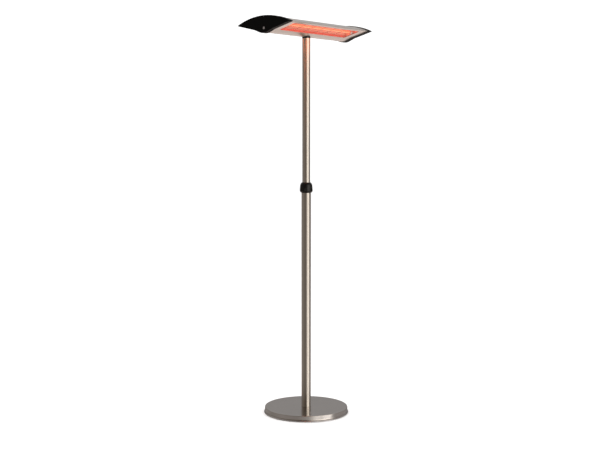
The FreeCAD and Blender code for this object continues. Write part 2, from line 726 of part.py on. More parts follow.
def lamp_tube(side):
    """Quartz tube with flattened pinched ends."""
    body = along(V(1, 0, 0), LAMP_R, V(-LAMP_HALF_LENGTH, 0, LAMP_W), 2 * LAMP_HALF_LENGTH)
    ends = [e for e in body.Edges if e.Closed]
    body = body.makeFillet(3.5, ends)
    body = body.cut(along(V(1, 0, 0), LAMP_R - 1.1, V(-LAMP_HALF_LENGTH + 5, 0, LAMP_W),
                          2 * LAMP_HALF_LENGTH - 10))
    for sign in (-1, 1):
        ends = sorted((sign * (LAMP_HALF_LENGTH - 3), sign * (CERAMIC_START + 12)))
        body = body.fuse(box((ends[0], -4.2, LAMP_W - 1.5), (ends[1], 4.2, LAMP_W + 1.5)))
    return on_wing(body.removeSplitter(), side)


def filament(side):
    length = LAMP_HALF_LENGTH - 8
    return on_wing(along(V(1, 0, 0), 1.8, V(-length, 0, LAMP_W), 2 * length), side)


def lamp_caps(side):
    """Ceramic ends of a lamp, slotted for the pinched quartz."""
    caps = []
    for sign in (-1, 1):
        start = min(sign * CERAMIC_START, sign * CERAMIC_END)
        block = along(V(1, 0, 0), CERAMIC_R, V(start, 0, LAMP_W), CERAMIC_END - CERAMIC_START)
        block = block.makeFillet(0.8, [e for e in block.Edges if e.Closed])
        slot_x = sorted((sign * (CERAMIC_START - 1), sign * (CERAMIC_START + 12.05)))
        slot = box((slot_x[0], -4.3, LAMP_W - 1.6), (slot_x[1], 4.3, LAMP_W + 1.6))
        caps.append(on_wing(block.cut(slot), side))
    return group(caps)


def lamp_brackets():
    """Upright spring plates that hold the ceramic ends, each with a foot on the tray."""
    plates = []
    for side in (-1, 1):
        for sign in (-1, 1):
            x0, x1 = sorted((sign * BRACKET_X, sign * (BRACKET_X + 1.2)))
            foot0, foot1 = sorted((sign * BRACKET_X, sign * (BRACKET_X + 12)))
            low = BODY_SHEET + 0.05
            plate = box((x0, -13, low), (x1, 13, LAMP_W + CERAMIC_R + 2.5))
            plate = plate.fuse(box((foot0, -13, low), (foot1, 13, low + 1.2)))
            hole = along(V(1, 0, 0), CERAMIC_R + 0.05, V(x0 - 5, 0, LAMP_W), 20)
            plates.append(on_wing(plate.cut(hole).removeSplitter(), side))
    return group(plates)


def guard(side):
    """Welded wire grille just inside one window."""
    half_x = WINDOW_HALF_LENGTH + GUARD_OVERLAP_X
    half_y = WINDOW_HALF_WIDTH + GUARD_OVERLAP_Y
    first_x = GUARD_END_X - half_x
    first_y = GUARD_END_Y - half_y
    wires = []
    for i in range(GUARD_LONG_WIRES):
        y = first_y - 2 * first_y * i / (GUARD_LONG_WIRES - 1)
        wires.append(along(V(1, 0, 0), GUARD_WIRE_R, V(-half_x, y, GUARD_W), 2 * half_x))
    for i in range(GUARD_CROSS_WIRES):
        x = first_x - 2 * first_x * i / (GUARD_CROSS_WIRES - 1)
        start = V(x, -half_y, GUARD_W + 1.6 * GUARD_WIRE_R)
        wires.append(along(V(0, 1, 0), GUARD_WIRE_R, start, 2 * half_y))
    return on_wing(wires[0].multiFuse(wires[1:]), side)


# ---- electrical parts --------------------------------------------------------------------------
def terminal_block():
    """Moulded block with a row of terminal wells, on the rail."""
    end = TERMINAL_X + (TERMINAL_COUNT - 1) * TERMINAL_PITCH
    block = box((TERMINAL_X - 5.5, -10, DECK_Z), (end + 5.5, 10, DECK_Z + 14))
    for i in range(TERMINAL_COUNT):
        for y in (-5, 5):
            block = block.cut(cylinder(2.2, DECK_Z + 8, DECK_Z + 20, TERMINAL_X + i * TERMINAL_PITCH, y))
    return block


def tip_over_switch():
    """Sealed ball switch that cuts the power when the heater leans."""
    block = box((TIP_SWITCH_X - 12, -11, DECK_Z), (TIP_SWITCH_X + 12, 11, DECK_Z + 22))
    lid = cylinder(8, DECK_Z + 21, DECK_Z + 26, TIP_SWITCH_X, 0)
    return block.makeFillet(3, upright_edges(block)).fuse(lid).removeSplitter()


def thermal_cutout():
    """Round bimetal cut-out, flat on the rail."""
    lid = cylinder(7.5, DECK_Z + 5, DECK_Z + 11, CUTOUT_X, 0)
    return cylinder(9, DECK_Z, DECK_Z + 6, CUTOUT_X, 0).fuse(lid).removeSplitter()


def lead(points):
    """Insulated wire along straight runs with round corners."""
    runs = []
    for a, b in zip(points, points[1:]):
        run = V(*b) - V(*a)
        runs.append(along(run, LEAD_R, V(*a), run.Length))
        runs.append(Part.makeSphere(LEAD_R, V(*b)))
    return runs[0].multiFuse(runs[1:])


def wing_point(x, t, w, side):
    """A point given in a wing's own axes, in the head's axes."""
    p = wing_place(side).multVec(V(x * side, t, w))
    return (p.x, p.y, p.z)


def lamp_lead(side, sign):
    """Lead from one end of a lamp, inwards over the rail and along it to its terminal."""
    x = sign * (CERAMIC_END + 3.5)
    over = DECK_Z + 28
    well = TERMINAL_X + ((sign > 0) + 2 * (side > 0)) * TERMINAL_PITCH
    return lead([wing_point(x, 0, LAMP_W, side), wing_point(x, -30, LAMP_W + 14, side),
                 (x, side * 14.0, over), (well, side * 9.0, over), (well, side * 5.0, DECK_Z + 14.3)])


def wiring():
    """Leads from the terminals to the lamps, the tip-over switch and the switch in the left cap."""
    last = TERMINAL_X + (TERMINAL_COUNT - 1) * TERMINAL_PITCH
    well_top = DECK_Z + 14.3
    leads = [lamp_lead(side, sign) for side in (-1, 1) for sign in (-1, 1)]
    leads.append(lead([(TIP_SWITCH_X, 12.5, DECK_Z + 12), (TIP_SWITCH_X, 15, DECK_Z + 12),
                       (TIP_SWITCH_X + 18, 15, DECK_Z + 12), (TIP_SWITCH_X + 38, 8, DECK_Z + 18),
                       (last, 8, DECK_Z + 22), (last, 5, well_top)]))
    leads.append(lead([(-GASKET_X - 2, 0, TIP_Z + 12), (-280, 0, TIP_Z + 12), (-262, -14, DECK_Z + 20),
                       (last, -14, DECK_Z + 20), (last, -5, well_top)]))
    return group(leads)


def button_bar(radius, start, length):
    """Cylinder along X on the push button's axis, from a depth behind the left cap's outer face."""
    return along(V(1, 0, 0), radius, V(start - HALF_LENGTH, BUTTON_Y, TIP_Z + BUTTON_V), length)


def switch_body():
    """Latching switch behind the push button, on two lugs that reach the left cap's face."""
    z = TIP_Z + BUTTON_V
    front = CAP_WALL + 5.5
    plunger = BUTTON_REST + BUTTON_LENGTH + BUTTON_TRAVEL + 0.4
    block = box((front - HALF_LENGTH, BUTTON_Y - SWITCH_HALF, z - SWITCH_HALF),
                (-CAP_X - 2.5, BUTTON_Y + SWITCH_HALF, z + SWITCH_HALF))
    block = block.fuse(button_bar(3.0, plunger, front + 1 - plunger))
    for y in (BUTTON_Y - SWITCH_HALF - 3, BUTTON_Y + SWITCH_HALF):
        lug = box((CAP_WALL + 0.05 - HALF_LENGTH, y, z - 6), (front + 6 - HALF_LENGTH, y + 3, z + 6))
        block = block.fuse(lug)
    return block.removeSplitter()


def button_bezel():
    ring = button_bar(BEZEL_R, 0.3, CAP_WALL - 0.3)
    return ring.cut(button_bar(BUTTON_R + FREE_GAP, -5, 20))


def push_button():
    body = button_bar(BUTTON_R, BUTTON_REST, BUTTON_LENGTH)
    face_x = BUTTON_REST - HALF_LENGTH
    rim = [e for e in body.Edges if e.Closed and abs(e.CenterOfMass.x - face_x) < 0.01]
    return body.makeFillet(0.8, rim)


PARTS = {
    "base_cover": base_cover,
    "base_weight": base_weight,
    "base_plate": base_plate,
    "base_plate_screws": base_plate_screws,
    "rubber_feet": rubber_feet,
    "foot_screws": foot_screws,
    "base_bolt": base_bolt,
    "base_washer": base_washer,
    "pole_socket": pole_socket,
    "lower_tube": lower_tube,
    "cable_gland": cable_gland,
    "gland_nut": gland_nut,
    "liner_sleeve": liner_sleeve,
    "collar_body": collar_body,
    "collet": collet,
    "lock_ring": lock_ring,
    "guide_bush": guide_bush,
    "bush_rings": bush_rings,
    "upper_tube": upper_tube,
    "head_ring": head_ring,
    "head_spigot": head_spigot,
    "spigot_screw": spigot_screw,
    "mount_bolts": mount_bolts,
    "chassis_rail": chassis_rail,
    "rail_screws": rail_screws,
    "tray": tray,
    "tray_screws": tray_screws,
    "hood": hood,
    "hood_posts": hood_posts,
    "heat_shield": heat_shield,
    "end_plate_left": lambda: end_plate(-1),
    "end_plate_right": lambda: end_plate(1),
    "cap_gasket_left": lambda: cap_gasket(-1),
    "cap_gasket_right": lambda: cap_gasket(1),
    "end_cap_left": lambda: end_cap(-1),
    "end_cap_right": lambda: end_cap(1),
    "end_cap_screws": end_cap_screws,
    "reflector_front": lambda: reflector(-1),
    "reflector_rear": lambda: reflector(1),
    "reflector_clips": reflector_clips,
    "lamp_tube_front": lambda: lamp_tube(-1),
    "lamp_tube_rear": lambda: lamp_tube(1),
    "filament_front": lambda: filament(-1),
    "filament_rear": lambda: filament(1),
    "lamp_caps_front": lambda: lamp_caps(-1),
    "lamp_caps_rear": lambda: lamp_caps(1),
    "lamp_brackets": lamp_brackets,
    "guard_front": lambda: guard(-1),
    "guard_rear": lambda: guard(1),
    "terminal_block": terminal_block,
    "tip_over_switch": tip_over_switch,
    "thermal_cutout": thermal_cutout,
    "wiring": wiring,
    "switch_body": switch_body,
    "button_bezel": button_bezel,
    "push_button": push_button,
}

os.makedirs("parts", exist_ok=True)
for name, make in PARTS.items():
    shape = make()
    volume = shape.Volume / 1000
    print(f"{name:20s} solids {len(shape.Solids):3d}  volume {volume:9.2f} cm3  valid {shape.isValid()}")
    shape.exportStep(f"parts/{name}.step")
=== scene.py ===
"""Looks of the outdoor heater: materials, lamp coils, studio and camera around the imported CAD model."""
import json
import math
import bpy
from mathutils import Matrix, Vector


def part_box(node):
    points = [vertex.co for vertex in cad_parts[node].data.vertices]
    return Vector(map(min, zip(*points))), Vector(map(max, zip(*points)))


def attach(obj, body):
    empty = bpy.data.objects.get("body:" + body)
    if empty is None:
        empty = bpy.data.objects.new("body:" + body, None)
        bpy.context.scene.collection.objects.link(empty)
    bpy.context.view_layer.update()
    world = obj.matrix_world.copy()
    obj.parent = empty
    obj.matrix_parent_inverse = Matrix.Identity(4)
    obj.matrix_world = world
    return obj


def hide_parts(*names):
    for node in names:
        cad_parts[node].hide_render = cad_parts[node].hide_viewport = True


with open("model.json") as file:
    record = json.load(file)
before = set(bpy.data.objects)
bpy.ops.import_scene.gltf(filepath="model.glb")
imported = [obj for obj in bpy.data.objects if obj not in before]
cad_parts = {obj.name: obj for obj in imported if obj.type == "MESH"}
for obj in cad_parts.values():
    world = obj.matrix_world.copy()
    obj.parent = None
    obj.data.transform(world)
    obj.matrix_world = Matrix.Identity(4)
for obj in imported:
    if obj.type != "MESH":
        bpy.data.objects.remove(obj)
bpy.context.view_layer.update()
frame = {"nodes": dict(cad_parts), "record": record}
NODES = frame["nodes"]

# ---- camera and studio, metres and radians ------------------------------------------------------
CAMERA_TURN = math.radians(48.2)      # the camera stands this far round from the front, on the -X side
CAMERA_DISTANCE = 5.4835
CAMERA_HEIGHT = 1.411
CAMERA_PITCH = 0.0740                 # downwards
CAMERA_YAW = 0.0060                   # to the left of the pole
CAMERA_LENS = 62.29                   # millimetres, like the sensor
CAMERA_SENSOR = 36.0
CAMERA_REACH = 200.0
FLOOR_SIZE = 60.0

WHITE = 1.2                           # backdrop and fill
OVERHEAD_POWER = 60.0                 # watts
OVERHEAD_HEIGHT = 5.0
OVERHEAD_SIZE = 4.0

# What polished metal mirrors: rings of (degrees to the right of the camera, colour), each at the sine of an
# elevation, blended from one ring to the next.
STUDIO = [
    (-0.60, [(-180, (0.52, 0.45, 0.42)), (-110, (0.32, 0.29, 0.27)), (-20, (0.12, 0.11, 0.10)),
             (30, (0.40, 0.37, 0.34)), (60, (0.90, 0.85, 0.80)), (95, (0.40, 0.37, 0.35)),
             (130, (0.52, 0.45, 0.42)), (180, (0.52, 0.45, 0.42))]),
    (-0.37, [(-180, (1.38, 1.12, 1.02)), (-145, (1.26, 1.03, 0.94)), (-110, (0.33, 0.30, 0.275)),
             (-25, (0.26, 0.24, 0.23)), (9, (0.43, 0.40, 0.37)), (30, (1.10, 1.03, 0.97)),
             (70, (1.40, 1.32, 1.26)), (84, (0.32, 0.30, 0.29)), (120, (0.40, 0.35, 0.33)),
             (150, (1.26, 1.03, 0.94)), (180, (1.38, 1.12, 1.02))]),
    (-0.25, [(-180, (0.24, 0.23, 0.23)), (-105, (0.29, 0.27, 0.255)), (-74, (0.35, 0.32, 0.305)),
             (-25, (0.32, 0.29, 0.275)), (-2, (0.42, 0.39, 0.37)), (9, (0.50, 0.48, 0.46)),
             (20, (0.90, 0.86, 0.83)), (31, (1.25, 1.20, 1.16)), (43, (0.92, 0.88, 0.85)),
             (54, (1.46, 1.39, 1.34)), (70, (1.56, 1.50, 1.44)), (79, (0.36, 0.34, 0.33)),
             (115, (0.36, 0.33, 0.32)), (150, (0.24, 0.23, 0.23)), (180, (0.24, 0.23, 0.23))]),
    (-0.06, [(-180, (0.20, 0.19, 0.19)), (-100, (0.14, 0.13, 0.11)), (-67, (0.24, 0.21, 0.18)),
             (-14, (0.13, 0.115, 0.095)), (8, (0.22, 0.19, 0.165)), (24, (0.55, 0.51, 0.47)),
             (46, (1.00, 0.95, 0.90)), (74, (1.05, 1.01, 0.97)), (92, (0.20, 0.185, 0.175)),
             (144, (0.17, 0.16, 0.15)), (180, (0.20, 0.19, 0.19))]),
    (0.02, [(-180, (0.20, 0.19, 0.19)), (-128, (0.14, 0.125, 0.11)), (-85, (0.22, 0.19, 0.16)),
            (-51, (0.22, 0.19, 0.145)), (-22, (0.16, 0.125, 0.085)), (4, (0.24, 0.20, 0.155)),
            (24, (2.60, 2.45, 2.15)), (43, (4.20, 4.00, 3.60)), (66, (3.50, 3.35, 3.10)),
            (84, (0.24, 0.20, 0.19)), (120, (0.18, 0.165, 0.16)), (180, (0.20, 0.19, 0.19))]),
    (0.25, [(-180, (0.335, 0.325, 0.32)), (-95, (0.20, 0.18, 0.155)), (-67, (0.15, 0.13, 0.10)),
            (-14, (0.05, 0.035, 0.025)), (8, (0.10, 0.08, 0.065)), (24, (1.00, 0.92, 0.84)),
            (48, (2.20, 2.05, 1.90)), (70, (1.40, 1.30, 1.20)), (86, (0.22, 0.20, 0.19)),
            (140, (0.335, 0.325, 0.32)), (180, (0.335, 0.325, 0.32))]),
    (0.60, [(-180, (0.70, 0.68, 0.67)), (-90, (0.26, 0.24, 0.23)), (0, (0.08, 0.07, 0.06)),
            (60, (0.60, 0.56, 0.52)), (110, (0.30, 0.28, 0.27)), (180, (0.70, 0.68, 0.67))]),
]

# ---- lamps, metres ----------------------------------------------------------------------------------
LAMP_COLOR = (1.0, 0.30, 0.12)
LAMP_POWER = 0.45                     # watts of each window's light
LAMP_STAND_OFF = 0.006                # of that light, below the guard wires
PAINTED_REFLECTION_OFFSET = 0.031                 # where the painted reflection of the lamp lies, from the trough's middle
PAINTED_REFLECTION_SPREAD = 0.020
PAINTED_GLOW_HEIGHTS = (1.40, 1.95)              # heights on the pole between which the painted reflection of the lamps' warm light fades in
COIL_R = 0.0014
COIL_WIRE_R = 0.00035
COIL_PITCH = 0.0017
COIL_STEPS = 10                       # points on each turn

FACE_WEIGHT = 100                     # how far the large faces lead the shading of the edges beside them


# ---- node helpers ---------------------------------------------------------------------------------
class Nodes:
    """Short calls for adding and joining the shader nodes of one tree."""

    def __init__(self, tree):
        self.tree = tree

    def add(self, kind, **values):
        """New node; a value goes to the node's property of that name, or else to its socket."""
        node = self.tree.nodes.new(kind)
        for name, value in values.items():
            if hasattr(node, name):
                setattr(node, name, value)
            else:
                node.inputs[name.replace("_", " ")].default_value = value
        return node

    def join(self, source, target):
        self.tree.links.new(source, target)

    def parts(self, vector):
        """X, Y and Z of a vector, by name."""
        node = self.add("ShaderNodeSeparateXYZ")
        self.join(vector, node.inputs["Vector"])
        return node.outputs

    def spread(self, value, low, high, start=0.0, end=1.0):
        """Map a value from start..end to low..high."""
        node = self.add("ShaderNodeMapRange")
        for socket, number in (("From Min", start), ("From Max", end), ("To Min", low), ("To Max", high)):
            node.inputs[socket].default_value = number
        self.join(value, node.inputs["Value"])
        return node.outputs["Result"]

    def math(self, operation, a, b=0.0):
        """Result for two values, each a number or a socket."""
        node = self.add("ShaderNodeMath", operation=operation)
        for socket, value in zip(node.inputs, (a, b)):
            if isinstance(value, (int, float)):
                socket.default_value = value
            else:
                self.join(value, socket)
        return node.outputs["Value"]

    def colors(self, factor, stops):
        """Colour ramp from (position, colour) stops; colours may be brighter than white."""
        ramp = self.add("ShaderNodeValToRGB")
        elements = ramp.color_ramp.elements
        while len(elements) < len(stops):
            elements.new(0.5)
        for element, (position, color) in zip(elements, stops):
            element.position = position
            element.color = (*color, 1.0)
        self.join(factor, ramp.inputs["Fac"])
        return ramp.outputs["Color"]

    def mix(self, factor, low, high):
        """Blend of two fixed colours."""
        return self.colors(factor, [(0.0, low), (1.0, high)])


class Look(Nodes):
    """One material around its Principled shader."""

    def __init__(self, name, color, roughness, metallic=0.0, **sockets):
        self.material = bpy.data.materials.new(name)
        self.material.use_nodes = True
        super().__init__(self.material.node_tree)
        self.shader = self.tree.nodes["Principled BSDF"]
        self.set("Base Color", (*color, 1.0))
        self.set("Roughness", roughness)
        self.set("Metallic", metallic)
        for socket, value in sockets.items():
            self.set(socket.replace("_", " "), value)

    def set(self, socket, value):
        self.shader.inputs[socket].default_value = value

    def drive(self, socket, value):
        self.join(value, self.shader.inputs[socket])

    def place(self, scale=(1, 1, 1)):
        """Position on the object in metres, scaled."""
        coordinates = self.add("ShaderNodeTexCoord")
        mapping = self.add("ShaderNodeMapping", Scale=scale)
        self.join(coordinates.outputs["Object"], mapping.inputs["Vector"])
        return mapping.outputs["Vector"]

    def noise(self, place, scale, detail=4.0, rough=0.5):
        node = self.add("ShaderNodeTexNoise", Scale=scale, Detail=detail, Roughness=rough)
        self.join(place, node.inputs["Vector"])
        return node.outputs["Fac"]

    def cells(self, place, scale):
        """Distance from the middle of the nearest random cell."""
        node = self.add("ShaderNodeTexVoronoi", Scale=scale)
        self.join(place, node.inputs["Vector"])
        return node.outputs["Distance"]

    def bump(self, height, depth, strength):
        node = self.add("ShaderNodeBump", Strength=strength, Distance=depth)
        self.join(height, node.inputs["Height"])
        self.drive("Normal", node.outputs["Normal"])


# ---- metals -----------------------------------------------------------------------------------------
def pole_steel():
    """Stainless tube, brushed round its girth, with a painted reflection of the lamps' warm light on its
    colour at its top.

    The brushing draws each mirrored light out into a long upright streak.
    """
    look = Look("pole_steel", (0.66, 0.61, 0.56), 0.30, 1.0, Anisotropic=1.0, Anisotropic_Rotation=0.25)
    look.drive("Tangent", look.add("ShaderNodeTangent", direction_type="RADIAL", axis="Z").outputs["Tangent"])
    rings = look.noise(look.place((6, 6, 2600)), 1.0, 3.0)
    smudge = look.noise(look.place((1, 1, 0.6)), 9.0, 5.0)
    brushing = look.spread(rings, -0.03, 0.03)
    look.drive("Roughness", look.math("ADD", look.spread(smudge, 0.27, 0.36), brushing))
    # painted reflection of the lamps' warm light, rising from nothing at the lower height to full at the
    # upper one
    painted_lamp_reflection = look.spread(look.parts(look.place())["Z"], 0.0, 0.85, *PAINTED_GLOW_HEIGHTS)
    painted_glow_and_brushing = look.math("ADD", painted_lamp_reflection, look.spread(rings, 0.0, 0.15))
    # the first two stops are the brushing's own tone; the last stop is the colour of the painted lamp
    # reflection
    look.drive("Base Color", look.colors(painted_glow_and_brushing, [(0.0, (0.62, 0.575, 0.52)), (0.15, (0.70, 0.655, 0.60)),
                                                (1.0, (0.72, 0.61, 0.52))]))
    look.bump(rings, 0.000004, 0.4)
    return look.material


def base_steel():
    """Stainless cover with fine straight brushing and faint wipe marks."""
    look = Look("base_steel", (0.58, 0.55, 0.52), 0.16, 1.0)
    lines = look.noise(look.place((14, 1800, 14)), 1.0, 4.0)
    smudge = look.noise(look.place(), 7.0, 5.0)
    brushing = look.spread(lines, -0.03, 0.05)
    look.drive("Roughness", look.math("ADD", look.spread(smudge, 0.10, 0.22), brushing))
    look.drive("Base Color", look.mix(lines, (0.53, 0.50, 0.475), (0.62, 0.59, 0.565)))
    look.bump(lines, 0.000003, 0.5)
    return look.material


def body_aluminium():
    """Satin silver sheet of the head, brushed along its length."""
    look = Look("body_aluminium", (0.76, 0.73, 0.70), 0.36, 1.0)
    lines = look.noise(look.place((6, 1500, 1500)), 1.0, 4.0)
    cloud = look.noise(look.place(), 12.0, 4.0)
    brushing = look.spread(lines, -0.04, 0.04)
    look.drive("Roughness", look.math("ADD", look.spread(cloud, 0.30, 0.42), brushing))
    look.drive("Base Color", look.mix(lines, (0.72, 0.69, 0.66), (0.80, 0.77, 0.74)))
    look.bump(lines, 0.000005, 0.5)
    return look.material


def trough_middle():
    """Distance of each trough's middle from the pole."""
    low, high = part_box("reflector_front")
    return -(low[1] + high[1]) / 2


def reflector_aluminium():
    """Bright rolled trough with the lamp's light painted on it as a coral colour and a glow, brightest where
    a painted reflection of the lamp lies on its sides.
    """
    # the coral base colour and the emission are painted light of the lamp on the silver aluminium
    look = Look("reflector_aluminium", (0.80, 0.42, 0.32), 0.24, 1.0, Emission_Strength=0.55)
    rolls = look.noise(look.place((2, 260, 260)), 1.0, 3.0)
    dapple = look.noise(look.place((12, 40, 40)), 1.0, 2.0)
    from_pole = look.math("ABSOLUTE", look.parts(look.place())["Y"])
    from_middle = look.math("ABSOLUTE", look.math("SUBTRACT", from_pole, trough_middle()))
    from_painted_reflection = look.math("ABSOLUTE", look.math("SUBTRACT", from_middle, PAINTED_REFLECTION_OFFSET))
    # painted reflection of the lamp: brightest at its set distance from the trough's middle, varied by the
    # roll marks
    painted_lamp_glow = look.math("ADD", look.spread(from_painted_reflection, 1.1, 0.0, 0.0, PAINTED_REFLECTION_SPREAD),
                     look.spread(rolls, -0.3, 0.3, 0.25, 0.75))
    look.drive("Roughness", look.spread(dapple, 0.20, 0.30))
    # coral base colour: painted lamp light on the metal, varied by the real roll marks
    look.drive("Base Color", look.mix(rolls, (0.66, 0.27, 0.22), (0.78, 0.38, 0.31)))
    look.bump(rolls, 0.00008, 0.4)
    # painted glow of the lamp's light and reflection, though the trough itself is no lamp
    look.drive("Emission Color", look.mix(painted_lamp_glow, (0.72, 0.115, 0.09), (1.06, 0.32, 0.18)))
    return look.material


def frame_steel():
    """Galvanised sheet with its pale spangle."""
    look = Look("frame_steel", (0.56, 0.57, 0.58), 0.42, 1.0)
    spangle = look.cells(look.place(), 95.0)
    look.drive("Base Color", look.mix(spangle, (0.62, 0.63, 0.64), (0.44, 0.45, 0.47)))
    look.drive("Roughness", look.spread(look.noise(look.place(), 60.0), 0.34, 0.5))
    look.bump(spangle, 0.00002, 0.3)
    return look.material


def zinc_steel():
    """Zinc plated turned steel of the screws and fittings."""
    look = Look("zinc_steel", (0.62, 0.62, 0.61), 0.3, 1.0)
    grain = look.noise(look.place(), 900.0, 3.0)
    stain = look.noise(look.place(), 55.0, 4.0)
    look.drive("Roughness", look.spread(grain, 0.22, 0.4))
    look.drive("Base Color", look.mix(stain, (0.56, 0.55, 0.52), (0.68, 0.68, 0.69)))
    look.bump(grain, 0.00001, 0.5)
    return look.material


def cast_weight():
    """Primed sand casting."""
    look = Look("cast_weight", (0.03, 0.03, 0.032), 0.7)
    pits = look.noise(look.place(), 320.0, 6.0, 0.65)
    patches = look.noise(look.place(), 14.0, 4.0)
    look.drive("Base Color", look.mix(patches, (0.022, 0.022, 0.024), (0.05, 0.047, 0.044)))
    look.drive("Roughness", look.spread(pits, 0.55, 0.85))
    look.bump(pits, 0.0004, 0.8)
    return look.material


def guard_wire():
    """Nickel plated wire with the lamp's warm light painted on its colour in patches; the same patches vary
    its roughness.
    """
    look = Look("guard_wire", (0.80, 0.42, 0.33), 0.24, 1.0)
    painted_lamp_glow = look.noise(look.place((1, 4, 4)), 30.0, 3.0)
    # coral colour: painted light of the lamp on the wire, stronger in patches
    look.drive("Base Color", look.mix(painted_lamp_glow, (0.72, 0.32, 0.24), (0.90, 0.52, 0.42)))
    look.drive("Roughness", look.spread(painted_lamp_glow, 0.18, 0.34))
    return look.material


# ---- plastics, rubber, ceramic -----------------------------------------------------------------------
def moulded(name, dark, light, rough_low, rough_high, **sockets):
    """Moulded plastic with a fine spark-eroded grain and faint handling marks."""
    look = Look(name, dark, rough_low, 0.0, **sockets)
    grain = look.noise(look.place(), 1500.0, 2.0)
    marks = look.noise(look.place(), 18.0, 5.0)
    look.drive("Base Color", look.mix(marks, dark, light))
    look.drive("Roughness", look.math("ADD", look.spread(marks, rough_low, rough_high),
                                      look.spread(grain, -0.04, 0.04)))
    look.bump(grain, 0.00003, 0.5)
    return look.material


def cap_plastic():
    """Satin black of the end caps, which mirrors very little."""
    return moulded("cap_plastic", (0.0014, 0.0012, 0.0012), (0.0022, 0.0019, 0.0019), 0.42, 0.56,
                   Specular_IOR_Level=0.08)


def grip_plastic():
    """Black of the lock ring, worn a little smoother by hands."""
    return moulded("grip_plastic", (0.0022, 0.0018, 0.0017), (0.0045, 0.0040, 0.0038), 0.22, 0.34,
                   Specular_IOR_Level=0.30)


def inner_plastic():
    """Dark nylon of the bushes and sleeves."""
    return moulded("inner_plastic", (0.05, 0.05, 0.052), (0.08, 0.078, 0.075), 0.4, 0.55)


def switch_plastic():
    """Black moulded cases of the switches."""
    return moulded("switch_plastic", (0.02, 0.02, 0.022), (0.035, 0.034, 0.034), 0.3, 0.45)


def terminal_plastic():
    """Cream terminal block, slightly translucent."""
    return moulded("terminal_plastic", (0.72, 0.70, 0.64), (0.80, 0.78, 0.73), 0.3, 0.42,
                   Subsurface_Weight=0.1, Subsurface_Radius=(0.002, 0.0015, 0.001))


def button_plastic():
    """Smooth grey of the push button."""
    return moulded("button_plastic", (0.115, 0.095, 0.09), (0.15, 0.13, 0.125), 0.25, 0.36)


def rubber():
    """Matt rubber with dust in its pores."""
    look = Look("rubber", (0.018, 0.018, 0.018), 0.75, 0.0, Specular_IOR_Level=0.35)
    pores = look.noise(look.place(), 700.0, 5.0)
    dust = look.noise(look.place(), 30.0, 5.0)
    look.drive("Base Color", look.mix(dust, (0.014, 0.014, 0.014), (0.04, 0.038, 0.035)))
    look.drive("Roughness", look.spread(pores, 0.66, 0.86))
    look.bump(pores, 0.00008, 0.6)
    return look.material


def lead_insulation():
    """Pale silicone of the leads."""
    look = Look("lead_insulation", (0.62, 0.58, 0.52), 0.5, 0.0, Specular_IOR_Level=0.4)
    ribs = look.noise(look.place(), 380.0, 3.0)
    look.drive("Base Color", look.mix(ribs, (0.55, 0.51, 0.45), (0.68, 0.64, 0.58)))
    look.drive("Roughness", look.spread(ribs, 0.42, 0.6))
    look.bump(ribs, 0.00005, 0.4)
    return look.material


def ceramic():
    """Unglazed ceramic, scorched in patches."""
    look = Look("ceramic", (0.82, 0.78, 0.72), 0.55)
    speckle = look.noise(look.place(), 600.0, 5.0)
    scorch = look.noise(look.place((0.6, 1, 1)), 40.0, 3.0)
    look.drive("Base Color", look.mix(scorch, (0.70, 0.60, 0.50), (0.86, 0.83, 0.78)))
    look.drive("Roughness", look.spread(speckle, 0.45, 0.7))
    look.bump(speckle, 0.00006, 0.5)
    return look.material


# ---- lamps --------------------------------------------------------------------------------------------
def quartz():
    """Amber coated quartz, lit from within, brighter where the coil shines through."""
    look = Look("quartz", (0.9, 0.34, 0.16), 0.08, 0.0, Alpha=0.55, IOR=1.46, Coat_Weight=0.6,
                Coat_Roughness=0.04, Emission_Strength=0.7)
    bands = look.noise(look.place((24, 1, 1)), 1.0, 3.0)
    look.drive("Emission Color", look.mix(bands, (1.0, 0.22, 0.12), (1.0, 0.34, 0.19)))
    look.drive("Roughness", look.spread(bands, 0.05, 0.14))
    return look.material


def glow_wire():
    """Glowing tungsten coil, a little cooler towards its supports."""
    look = Look("glow_wire", (0.5, 0.3, 0.2), 0.4, 1.0, Emission_Strength=2.2)
    supports = look.noise(look.place((60, 1, 1)), 1.0, 1.0)
    look.drive("Emission Color", look.mix(supports, (1.0, 0.30, 0.13), (1.0, 0.42, 0.22)))
    return look.material


MAKERS = [pole_steel, base_steel, body_aluminium, reflector_aluminium, frame_steel, zinc_steel, cast_weight,
          guard_wire, cap_plastic, grip_plastic, inner_plastic, switch_plastic, terminal_plastic,
          button_plastic, rubber, lead_insulation, ceramic, quartz, glow_wire]
MATERIALS = {maker.__name__: maker() for maker in MAKERS}


def dress_nodes():
    """Give every CAD node the finished material of its slot, and even shading beside its rounded edges."""
    for part in frame["record"]["subparts"]:
        node = NODES[part["node"]]
        for slot in node.material_slots:
            slot.material = MATERIALS[part["material_slot"]]
        shading = node.modifiers.new("even_shading", "WEIGHTED_NORMAL")
        shading.weight = FACE_WEIGHT


def add_coil(node_name):
    """Wind the glowing coil of one lamp in the space of its CAD rod."""
    low, high = (Vector(corner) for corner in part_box(node_name))
    middle = (low + high) / 2
    length = high.x - low.x
    count = int(length / COIL_PITCH * COIL_STEPS)
    curve = bpy.data.curves.new(node_name + "_coil", "CURVE")
    curve.dimensions = "3D"
    curve.bevel_depth = COIL_WIRE_R
    curve.bevel_resolution = 1
    spline = curve.splines.new("POLY")
    spline.points.add(count)
    for i, point in enumerate(spline.points):
        angle = 2 * math.pi * i / COIL_STEPS
        x = low.x + length * i / count
        point.co = (x, middle.y + COIL_R * math.cos(angle), middle.z + COIL_R * math.sin(angle), 1.0)
    coil = bpy.data.objects.new(node_name + "_coil", curve)
    bpy.context.collection.objects.link(coil)
    curve.materials.append(MATERIALS["glow_wire"])
    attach(coil, "mast")
    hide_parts(node_name)


